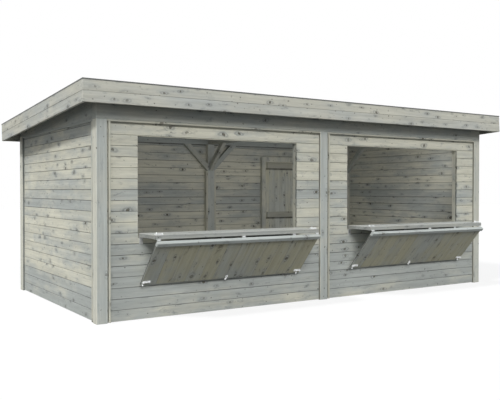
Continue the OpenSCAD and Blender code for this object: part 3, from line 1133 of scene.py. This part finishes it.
@dataclass
class PostFrame:
    """Posts, beams, braces and rafters.

    Attributes:
        beam_ease: width of the beams' eased edges.
        small_ease: width of the eased edges of braces and rafters.
        post_greys: tone of the posts, from left to right.
        post_side: what a post's tone changes by on its sides.
        beam_grey: tone of the beams.
        small_grey: tone of braces, rafters and rails.
        stud_grey: tone of the studs beside the hatches.
    """

    beam_ease: float = 0.004
    small_ease: float = 0.003
    post_greys: Tuple[Tuple[str, float], ...] = (("left", 0.8), ("middle", 0.7), ("right", 0.35))
    post_side: float = -0.75
    beam_grey: float = 0.6
    small_grey: float = 0.45
    stud_grey: float = 0.4

    def build(self, finishes: Finishes) -> None:
        """Builds and dresses the frame's timbers.

        Args:
            finishes: where the materials come from.
        """
        walls = ("left_wall", "right_wall", "back_wall", "hatch_apron_walls")
        panels = box_round([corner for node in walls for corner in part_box(node)])
        for row in ("front", "back"):
            for column, grey in self.post_greys:
                # A post's sides that stand in front of the boards get painted shade.
                post = Timberwork(
                    f"{row}_{column}_post", 0.0, easing=Easing.NONE, grey=grey, spread=0.2,
                    side_tone=self.post_side, panels=panels,
                )
                post.copy_solids().piece("timber", finishes)
        for node in ("front_beam", "back_beam", "left_beam", "right_beam", "middle_beam"):
            Timberwork(node, self.beam_ease, grey=self.beam_grey).copy_solids().piece("timber", finishes)
        for node in ("back_beam_braces", "cross_braces", "rafters", "hatch_rails"):
            Timberwork(node, self.small_ease, grey=self.small_grey).copy_solids().piece("timbers", finishes)
        studs = Timberwork(
            "hatch_studs", self.small_ease, grey=self.stud_grey, finish=FINISHES[Slot.BOARD]
        )
        studs.copy_solids().piece("timbers", finishes)


@dataclass
class PentRoof:
    """Deck, roofing sheet, edge trim and fascias.

    Attributes:
        deck_board: width of a deck board.
        deck_ease: width of the deck boards' eased edges.
        sheet_width: width of a strip of roofing sheet.
        sheet_ease: width of the strips' rounded edges.
        lap: how far a strip laps over the next one down the slope.
        lap_height: how far the lap stands up.
        fascia_ease: width of the fascia boards' eased edges.
        fascia_tones: tone of the lower and of the upper fascia board.
    """

    deck_board: float = 0.121
    deck_ease: float = 0.003
    sheet_width: float = 1.0
    sheet_ease: float = 0.0008
    lap: float = 0.09
    lap_height: float = 0.0015
    fascia_ease: float = 0.003
    fascia_tones: Tuple[float, float] = (0.45, 0.25)

    def build(self, finishes: Finishes) -> None:
        """Builds and dresses the roof.

        Args:
            finishes: where the materials come from.
        """
        lie = slope_of("roof_deck")
        deck = Timberwork("roof_deck", self.deck_ease, lie)
        for box in solid_boxes("roof_deck", lie):
            deck.courses(box, Axis.Y, box[0].y, self.deck_board)
        deck.piece("boards", finishes)
        sheet = Timberwork("roof_covering", self.sheet_ease, lie)
        for low, high in solid_boxes("roof_covering", lie):
            sheet.courses((low, high), Axis.Y, low.y, self.sheet_width)
            for joint in sheet.joints:
                start = Vector((low.x + self.lap_height, joint, high.z - self.lap_height / 2))
                end = Vector((high.x - self.lap_height, joint + self.lap, high.z + self.lap_height))
                sheet.board(start, end)
        sheet.piece("strips", finishes)
        for side in ("front", "back", "left", "right"):
            fascia = Timberwork(
                f"{side}_fascia", self.fascia_ease, lie, spread=0.2, course_tones=self.fascia_tones,
                finish=FASCIA_WOOD,
            )
            for box in solid_boxes(fascia.node, lie):
                fascia.split_evenly(box, Axis.Z, len(self.fascia_tones))
            fascia.piece("boards", finishes)
        dress("roof_trim", finishes)


@dataclass
class BoardWalls:
    """Horizontal boards between the posts, with their battens.

    Attributes:
        course: height of a board.
        ease: width of a board's eased edges.
        batten_ease: width of the battens' eased edges.
        walls: the CAD nodes of the wall panels, by wall.
        front_tones: the boards' tone by height on the front; below the counters it is greyer and darker,
            partly the boards' cooler colour and partly painted shade from the counters.
        other_tones: the boards' tone by height on the other walls.
        lot: name of the lot that the boards are drawn from.
        strip_height: a strip whose middle is higher than this lies along the top.
        strip_tones: tones of top strips and upright ones, first away from the front and then on it.
        batten_shade: depth and darkness of the line under the front's top battens.
        eaves_shade: depth and darkness of the line along the top of the back wall.
    """

    course: float = 0.1157
    ease: float = 0.005
    batten_ease: float = 0.002
    walls: Mapping[str, Tuple[str, ...]] = field(default_factory=lambda: {
        "front": ("hatch_apron_walls", "hatch_side_walls", "hatch_over_walls"),
        "back": ("back_wall", "door_side_walls", "door_over_wall"),
        "left": ("left_wall",),
        "right": ("right_wall",),
    })
    front_tones: Profile = (
        (0.0, 0.8), (0.55, 1.0), (0.8, 0.9), (0.95, 0.25), (1.1, 0.4), (1.27, 0.85), (1.5, 0.35),
        (1.8, 0.1), (2.1, 0.2),
    )
    other_tones: Profile = (
        (0.0, 0.7), (0.3, 0.7), (0.6, 0.25), (0.95, 0.25), (1.27, 0.8), (1.5, 0.35), (1.85, 0.2),
        (2.1, 0.7),
    )
    lot: str = "d"
    strip_height: float = 1.5
    strip_tones: Tuple[Tuple[float, float], ...] = ((1.1, 0.2), (0.2, 0.2))
    batten_shade: Tuple[float, float] = (0.011, 0.55)
    eaves_shade: Tuple[float, float] = (0.02, 0.8)

    def build(self, finishes: Finishes) -> None:
        """Builds and dresses the walls.

        Args:
            finishes: where the materials come from.
        """
        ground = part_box("left_wall")[0].z
        covers = solid_boxes("front_battens", LEVEL)
        edge = min(low.z for low, high in covers if high.x - low.x > high.z - low.z)
        # Painted shadows below the front's top battens and along the top of the back wall.
        shades = {
            "front": (LedgeShade(edge, *self.batten_shade),),
            "back": (LedgeShade(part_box("back_wall")[1].z, *self.eaves_shade),),
        }
        for wall, nodes in self.walls.items():
            tones = self.front_tones if wall == "front" else self.other_tones
            for node in nodes:
                boards = Timberwork(
                    node, self.ease, easing=Easing.JOINTS, spread=0.4, heights=tones,
                    batch=wall + self.lot, ledges=shades.get(wall, ()),
                )
                for box in solid_boxes(node, LEVEL):
                    boards.courses(box, Axis.Z, ground, self.course)
                boards.piece("boards", finishes)
            node = f"{wall}_battens"
            strips = Timberwork(node, self.batten_ease, course_tones=self.strip_tones[wall == "front"])
            strips.start, strips.pitch = self.strip_height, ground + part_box(node)[1].z
            strips.copy_solids().piece("strips", finishes)


@dataclass(frozen=True)
class Screw:
    """A screw's head.

    Attributes:
        radius: radius of the head, in metres. The sizes below are in radii.
        top: radius of its top.
        height: height of the head.
        seat: how far its middle stands over the plate.
        rim: width of the rim round its recess.
        recess: depth of its recess.
        sides: number of its sides.
    """

    radius: float
    top: float = 0.75
    height: float = 0.5
    seat: float = 0.2
    rim: float = 0.3
    recess: float = 0.25
    sides: int = 12

    def add(self, mesh: bmesh.types.BMesh, spot: Vector, up: Vector) -> None:
        """Adds the head to a mesh.

        Args:
            mesh: the mesh that it goes in.
            spot: the middle of its seat.
            up: the way that the head looks.
        """
        made = bmesh.ops.create_cone(
            mesh, cap_ends=True, segments=self.sides, radius1=self.radius, radius2=self.top * self.radius,
            depth=self.height * self.radius,
            matrix=Matrix.Translation(spot + self.seat * self.radius * up) @ facing(up),
        )["verts"]
        top = max(faces_at(made), key=lambda face: face.calc_center_median().dot(up))
        bmesh.ops.inset_region(
            mesh, faces=[top], thickness=self.rim * self.radius, depth=-self.recess * self.radius,
            use_even_offset=True,
        )


@dataclass(frozen=True)
class SlideBolt:
    """A slide bolt on its plate, drawn along X on a face at z = 0, with its rod's end at the origin.

    Attributes:
        length: from the rod's end to the far end of the plate.
        throw: how far the rod stands out of the plate.
        plate_width: width of the plate.
        plate: thickness of the plate.
        rod: radius of the rod.
        clearance: gap between the rod and the plate.
        guide: length of a guide.
        arm: radius of the handle's arm.
        reach: how far the arm reaches to the side.
        ball: radius of the handle's ball.
        ball_stretch: how much longer than wide the ball is.
        screw: the plate's screws.
        screw_inset: how far a screw's middle is from the plate's side, in radii of the screw.
        small_ease: width of the eased edges of the plate and the arm.
        rod_ease: width of the rod's eased ends.
        guide_ease: width of the guides' rounded edges.
        sides: number of sides of what is round.
        rings: number of rings of the ball.
    """

    length: float = 0.100
    throw: float = 0.010
    plate_width: float = 0.034
    plate: float = 0.003
    rod: float = 0.006
    clearance: float = 0.001
    guide: float = 0.008
    arm: float = 0.0035
    reach: float = 0.034
    ball: float = 0.0095
    ball_stretch: float = 1.15
    screw: Screw = Screw(0.0032)
    screw_inset: float = 1.6
    small_ease: float = 0.001
    rod_ease: float = 0.0015
    guide_ease: float = 0.003
    sides: int = 16
    rings: int = 10

    def _bar(self, mesh: bmesh.types.BMesh, low: Triple, high: Triple, ease: float) -> None:
        """Adds a bar with rounded edges.

        Args:
            mesh: the mesh that it goes in.
            low: its lowest corner.
            high: its highest corner.
            ease: width of its rounded edges.
        """
        place = stretched_cube(Vector(low), Vector(high))
        made = bmesh.ops.create_cube(mesh, size=1.0, matrix=place)["verts"]
        ease_edges(mesh, edges_at(made), ease, segments=2)

    def _round(
        self, mesh: bmesh.types.BMesh, radius: float, start: Vector, end: Vector, ease: float
    ) -> None:
        """Adds a round bar with eased ends.

        Args:
            mesh: the mesh that it goes in.
            radius: its radius.
            start: the middle of one end.
            end: the middle of the other end.
            ease: width of its eased ends.
        """
        made = bmesh.ops.create_cone(
            mesh, cap_ends=True, segments=self.sides, radius1=radius, radius2=radius,
            depth=(end - start).length, matrix=Matrix.Translation((start + end) / 2) @ facing(end - start),
        )["verts"]
        rims = [edge for edge in edges_at(made) if any(len(face.verts) > 4 for face in edge.link_faces)]
        ease_edges(mesh, rims, ease, segments=2)

    def build(self, place: Matrix, handle: float, side: float) -> bmesh.types.BMesh:
        """Builds the bolt.

        Args:
            place: where its own frame lies.
            handle: where the handle is along the bolt, in shares of its length.
            side: which way along Y the handle lies, 1 or -1.

        Returns:
            The bolt's mesh.
        """
        mesh = bmesh.new()
        half, axis = self.plate_width / 2, self.plate + self.clearance + self.rod
        self._bar(mesh, (self.throw, -half, 0.0), (self.length, half, self.plate), self.small_ease)
        tail = Vector((self.length - self.guide / 2, 0.0, axis))
        self._round(mesh, self.rod, axis * UP, tail, self.rod_ease)
        wide, high = self.rod + self.plate, axis + self.rod + self.plate
        for start in (self.throw + self.guide, self.length - 2 * self.guide):
            low = (start, -wide, self.plate / 2)
            self._bar(mesh, low, (start + self.guide, wide, high), self.guide_ease)
        knee = Vector((handle * self.length, 0.0, axis))
        end = knee + Vector((0.0, side * self.reach, self.rod))
        self._round(mesh, self.arm, knee, end, self.small_ease)
        bmesh.ops.create_uvsphere(
            mesh, u_segments=self.sides, v_segments=self.rings, radius=self.ball,
            matrix=Matrix.Translation(end) @ Matrix.Diagonal((1.0, self.ball_stretch, 1.0, 1.0)),
        )
        head = self.screw.radius
        for x in (self.throw + 2 * head, self.length - 2 * head):
            for y in (-1, 1):
                spot = Vector((x, y * (half - self.screw_inset * head), self.plate))
                self.screw.add(mesh, spot, UP)
        bmesh.ops.transform(mesh, matrix=place, verts=mesh.verts[:])
        return mesh


LONG_BOLT = SlideBolt()
SHORT_BOLT = SlideBolt(length=0.055, plate_width=0.026, reach=0.012)


@dataclass
class Fittings:
    """Steel hinges, plates and bolts of one CAD node, with their screws.

    Attributes:
        node: the CAD node.
        lie: the turn from level to the slope that they lie on.
        flap: the box of the flap that carries them on its underside, if one does.
        bolt_height: a solid that stands higher than this over its plate is a bolt.
        plate: thickness of the plates.
        screw: the screws of hinges and plates.
        strap: a plate is a strap when it is this many times as long as wide.
        strap_screws: where the screws are along a strap, in shares of its length.
        plate_screws: where the screws are on a plate, in shares of its length and of its width.
        top_handle: where a bolt's handle is on a counter, in shares of the bolt's length.
        right_handle: the same for a bolt at the right of a flap.
        other_handle: the same for the other bolts of a flap.
    """

    node: str
    lie: Matrix
    flap: Optional[Box] = None
    bolt_height: float = 0.02
    plate: float = 0.003
    screw: Screw = Screw(0.0042)
    strap: float = 4.0
    strap_screws: Tuple[float, ...] = (0.12, 0.37, 0.62, 0.87)
    plate_screws: Tuple[Tuple[float, float], ...] = ((0.27, 0.73), (0.24, 0.76))
    top_handle: float = 0.4
    right_handle: float = 0.6
    other_handle: float = 0.15

    def _screw_plate(self, mesh: bmesh.types.BMesh, group: Sequence[bmesh.types.BMVert]) -> None:
        """Puts screws in the plate of a hinge.

        Args:
            mesh: the mesh that holds the hinge.
            group: the hinge's vertices.
        """
        face = broadest(faces_at(group))
        up = -face.normal
        along = longest_way(face.edges)
        across = up.cross(along)
        (first, last), (low, high) = (
            [pick(vert.co.dot(way) for vert in face.verts) for pick in (min, max)] for way in (along, across)
        )
        if last - first > self.strap * (high - low):
            places = [(share, 0.5) for share in self.strap_screws]
        else:
            places = [(share, side) for share in self.plate_screws[0] for side in self.plate_screws[1]]
        level = face.verts[0].co.dot(up) + self.plate
        for share, side in places:
            x, y = first + share * (last - first), low + side * (high - low)
            self.screw.add(mesh, along * x + across * y + up * level, up)

    def _bolt(self, box: Box) -> bmesh.types.BMesh:
        """Builds the bolt that fills a box.

        Args:
            box: the bolt's corners in the turned frame.

        Returns:
            The bolt's mesh.
        """
        low, high = box
        middle = (low + high) / 2
        centre = [sum(ends) / 2 for ends in zip(*(self.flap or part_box(self.node)))]
        right = middle.x > centre[0]
        bolt, handle, side = LONG_BOLT, self.top_handle, -1.0 if right else 1.0
        turn = Matrix.Rotation(math.pi if right else 0.0, 4, "Z")
        start = Vector((high.x if right else low.x, middle.y, low.z))
        if self.flap is not None:
            free = 1.0 if middle.y > centre[1] else -1.0
            handle, side = (self.right_handle, free) if right else (self.other_handle, -free)
            if high.y - low.y > high.x - low.x:
                bolt, handle, side = SHORT_BOLT, self.other_handle, 1.0
                turn = Matrix.Rotation(-free * math.pi / 2, 4, "Z")
                start = Vector((middle.x, high.y if free > 0 else low.y, low.z))
            start.z = high.z
            turn = turn @ Matrix.Rotation(math.pi, 4, "X")
        return bolt.build(self.lie.to_4x4() @ Matrix.Translation(start) @ turn, handle, side)

    def build(self, finishes: Finishes) -> None:
        """Builds and dresses the fittings.

        Args:
            finishes: where the steel comes from.
        """
        mesh = merged_copy(self.node)
        flat = self.lie.transposed()
        for group in islands(mesh):
            box = box_round([flat @ vert.co for vert in group])
            if min(box[1] - box[0]) < self.bolt_height:
                self._screw_plate(mesh, group)
                continue
            bmesh.ops.delete(mesh, geom=group, context="VERTS")
            bolt = mesh_data("bolt", self._bolt(box))
            mesh.from_mesh(bolt)
            bpy.data.meshes.remove(bolt)
        bmesh.ops.recalc_face_normals(mesh, faces=mesh.faces[:])
        for face in mesh.faces:
            face.smooth = True
        for edge in mesh.edges:
            edge.smooth = edge.calc_face_angle(0.0) < SHARP_ANGLE
        stand_in(self.node, "steel", mesh, finishes.get(FINISHES[NODE_SLOT[self.node]]))


@dataclass
class Hatch:
    """A counter that folds down, with the flap that folds under it.

    Attributes:
        side: which half of the front.
        counter_boards: number of boards in the counter.
        counter_grime: how much painted shade darkens the counter's front edge.
        flap_tones: tone of each board of the flap.
        ease: width of the boards' eased edges.
    """

    side: Side
    counter_boards: int = 3
    counter_grime: float = 0.4
    flap_tones: Tuple[float, ...] = (0.7, 0.3, 0.1, 0.35, 0.15, 0.5, 0.75, 0.55, 0.2, 0.1, 0.35, 0.2)
    ease: float = 0.003

    def build(self, finishes: Finishes) -> None:
        """Builds and dresses the hatch.

        Args:
            finishes: where the materials come from.
        """
        counter_node, flap_node = f"{self.side.value}_counter", f"{self.side.value}_flap"
        low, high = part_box(counter_node)
        # The counter's ends and its front edge get painted shade.
        counter = Timberwork(
            counter_node, self.ease, grey=0.7, spread=0.3, finish=COUNTER_WOOD, end_shade=0.6,
            ledges=(LedgeShade(high.z, high.z - low.z, self.counter_grime),),
        )
        for box in solid_boxes(counter_node, LEVEL):
            counter.split_evenly(box, Axis.Y, self.counter_boards)
        counter.piece("boards", finishes)
        lie = slope_of(flap_node)
        # The flap's ends get painted shade: greyer by their side tone and darker by their end shade.
        flap = Timberwork(
            flap_node, self.ease, lie, spread=0.2, course_tones=self.flap_tones, side_tone=0.8,
            end_shade=0.75, joint_dirt=0.45, finish=FLAP_WOOD,
        )
        flap_box = solid_boxes(flap_node, lie)[0]
        flap.split_evenly(flap_box, Axis.X, len(self.flap_tones))
        flap.piece("boards", finishes)
        rail = Timberwork(f"{flap_node}_rail", self.ease, grey=0.85, finish=RAIL_WOOD)
        rail.copy_solids().piece("timber", finishes)
        Fittings(f"{counter_node}_hardware", LEVEL).build(finishes)
        Fittings(f"{flap_node}_hardware", lie, flap_box).build(finishes)


@dataclass
class BackDoor:
    """Ledged door of upright boards in its frame.

    Attributes:
        boards: number of boards in the leaf.
        ease: width of the eased edges.
        ledge_shade: depth and darkness of the line under each ledge.
    """

    boards: int = 7
    ease: float = 0.003
    ledge_shade: Tuple[float, float] = (0.03, 0.95)

    def build(self, finishes: Finishes) -> None:
        """Builds and dresses the door.

        Args:
            finishes: where the materials come from.
        """
        # Painted shadows on the leaf below each ledge.
        undersides = [low.z for low, _ in solid_boxes("door_ledges", LEVEL)]
        ledges = tuple(LedgeShade(height, *self.ledge_shade) for height in undersides)
        leaf = Timberwork("door_leaf", self.ease, grey=0.4, spread=0.6, ledges=ledges, joint_dirt=0.4)
        for box in solid_boxes("door_leaf", LEVEL):
            leaf.split_evenly(box, Axis.X, self.boards)
        leaf.piece("boards", finishes)
        frame_wood = FINISHES[Slot.BOARD]
        woods = {"door_ledges": LEDGE_WOOD, "door_frame": frame_wood, "door_stops": frame_wood}
        for node, finish in woods.items():
            Timberwork(node, self.ease, grey=0.3, finish=finish).copy_solids().piece("timbers", finishes)
        for node in ("door_straps", "door_hinge_plates", "hatch_sill_hinges"):
            Fittings(node, LEVEL).build(finishes)
        dress("door_handle", finishes)


def from_corner(offset: Triple) -> Vector:
    """Gives a place that is measured from the foot of the left front post's near corner."""
    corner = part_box("front_left_post")[0]
    return Vector((corner.x, corner.y, 0.0)) + Vector(offset)


def shining(direction: Triple) -> Euler:
    """Gives the turn of a lamp that shines in a direction."""
    return Vector(direction).to_track_quat("-Z", "Y").to_euler()


@dataclass(frozen=True)
class Lamp:
    """A far lamp.

    Attributes:
        name: what it is called.
        direction: where it shines to.
        strength: its light on a surface that faces it, over pi.
        spread: how wide it looks, in degrees.
    """

    name: str
    direction: Triple
    strength: float
    spread: float

    def build(self) -> None:
        """Adds the lamp to the scene."""
        data = bpy.data.lights.new(self.name, "SUN")
        data.energy = math.pi * self.strength
        data.angle = math.radians(self.spread)
        add_object(self.name, data).rotation_euler = shining(self.direction)


@dataclass(frozen=True)
class SoftBox:
    """A flat lamp that the camera doesn't see.

    Attributes:
        name: what it is called.
        middle: its place from the near corner of the left front post.
        direction: where it shines to.
        size: its width and height.
        power: its power, in watts.
    """

    name: str
    middle: Triple
    direction: Triple
    size: Tuple[float, float]
    power: float

    def build(self) -> None:
        """Adds the lamp to the scene."""
        data = bpy.data.lights.new(self.name, "AREA")
        data.shape = "RECTANGLE"
        data.size, data.size_y = self.size
        data.energy = self.power
        made = add_object(self.name, data)
        made.location = from_corner(self.middle)
        made.rotation_euler = shining(self.direction)
        made.visible_camera = False


@dataclass
class Studio:
    """Floor, light and camera.

    Attributes:
        floor_size: side of the square floor.
        floor_pale: how pale the floor looks where light falls on it.
        floor_white: share of the floor's look that is plain white.
        floor_bounce: how pale the floor is for the light it throws back.
        eye: the camera's place from the near corner of the left front post.
        yaw: turn of the view to the right of straight ahead, in degrees.
        pitch: tilt of the view, in degrees.
        lens: focal length, in millimetres.
        sensor: width of the camera's sensor, in millimetres.
        far: how far the camera sees.
        lamps: the lamp from the left, one from the front, a broad low one, and a soft one in the room.
        sky: colour of the light from all round.
    """

    floor_size: float = 90.0
    floor_pale: float = 0.95
    floor_white: float = 0.8
    floor_bounce: float = 0.15
    eye: Triple = (-2.482, -6.721, 1.388)
    yaw: float = 32.99
    pitch: float = -0.833
    lens: float = 49.0
    sensor: float = 36.0
    far: float = 200.0
    lamps: Tuple[Union[Lamp, SoftBox], ...] = (
        Lamp("side_light", (0.926, 0.15, -1.0), 0.63, 8.0),
        Lamp("front_light", (0.36, 1.0, -0.66), 0.60, 24.0),
        Lamp("low_light", (0.80, 0.60, -0.05), 0.17, 40.0),
        SoftBox("inside_light", (3.0, 0.32, 1.93), (0.0, 1.0, -0.42), (5.4, 0.5), 28.0),
    )
    sky: Colour = (0.345, 0.365, 0.375)

    def _seen(self, shader: Shader) -> Socket:
        """Is 1 for the rays that show the background."""
        path = shader.node("ShaderNodeLightPath", output="Is Camera Ray")
        return path.most(path.sibling("Is Glossy Ray")).most(path.sibling("Is Transmission Ray"))

    def _floor(self) -> None:
        """Lays a pale floor that keeps a faint shadow."""
        mesh = bmesh.new()
        bmesh.ops.create_grid(mesh, x_segments=1, y_segments=1, size=self.floor_size / 2)
        material, shader = new_material("pale_floor")
        shade, thrown = (
            shader.node("ShaderNodeBsdfDiffuse", None, {"Color": (pale, pale, pale, 1.0)})
            for pale in (self.floor_pale, self.floor_bounce)
        )
        white = shader.node("ShaderNodeEmission", None, {"Color": WHITE, "Strength": 1.0})
        shown = shader.node("ShaderNodeMixShader", None, {0: self.floor_white, 1: shade, 2: white})
        mixed = shader.node("ShaderNodeMixShader", None, {0: self._seen(shader), 1: thrown, 2: shown})
        shader.node("ShaderNodeOutputMaterial", None, {"Surface": mixed})
        data = mesh_data("floor", mesh)
        data.materials.append(material)
        add_object("floor", data)

    def _world(self) -> None:
        """Makes the light from all round, with a white background."""
        world = bpy.data.worlds.new("studio")
        world.use_nodes = True
        bpy.context.scene.world = world
        shader = Shader(world.node_tree)
        sky, white = (
            shader.node("ShaderNodeBackground", None, {"Color": colour, "Strength": 1.0})
            for colour in ((*self.sky, 1.0), WHITE)
        )
        mixed = shader.node("ShaderNodeMixShader", None, {0: self._seen(shader), 1: sky, 2: white})
        shader.node("ShaderNodeOutputWorld", None, {"Surface": mixed})

    def _camera(self) -> None:
        """Places the camera where the photograph was taken from."""
        data = bpy.data.cameras.new("camera")
        data.lens = self.lens
        data.sensor_width = self.sensor
        data.clip_end = self.far
        made = add_object("camera", data)
        made.location = from_corner(self.eye)
        made.rotation_euler = (math.radians(90.0 + self.pitch), 0.0, -math.radians(self.yaw))
        bpy.context.scene.camera = made

    def build(self) -> None:
        """Builds the whole studio."""
        self._floor()
        self._world()
        for lamp in self.lamps:
            lamp.build()
        self._camera()
        bpy.context.scene.view_settings.view_transform = "Standard"
        LOG.info("studio is set")


def main() -> None:
    """Builds the stall piece by piece, then the studio round it."""
    logging.basicConfig(level=logging.INFO, format="%(name)s: %(message)s")
    finishes = Finishes()
    PostFrame().build(finishes)
    PentRoof().build(finishes)
    BoardWalls().build(finishes)
    for side in Side:
        Hatch(side).build(finishes)
    BackDoor().build(finishes)
    Studio().build()


if __name__ == "__main__":
    main()
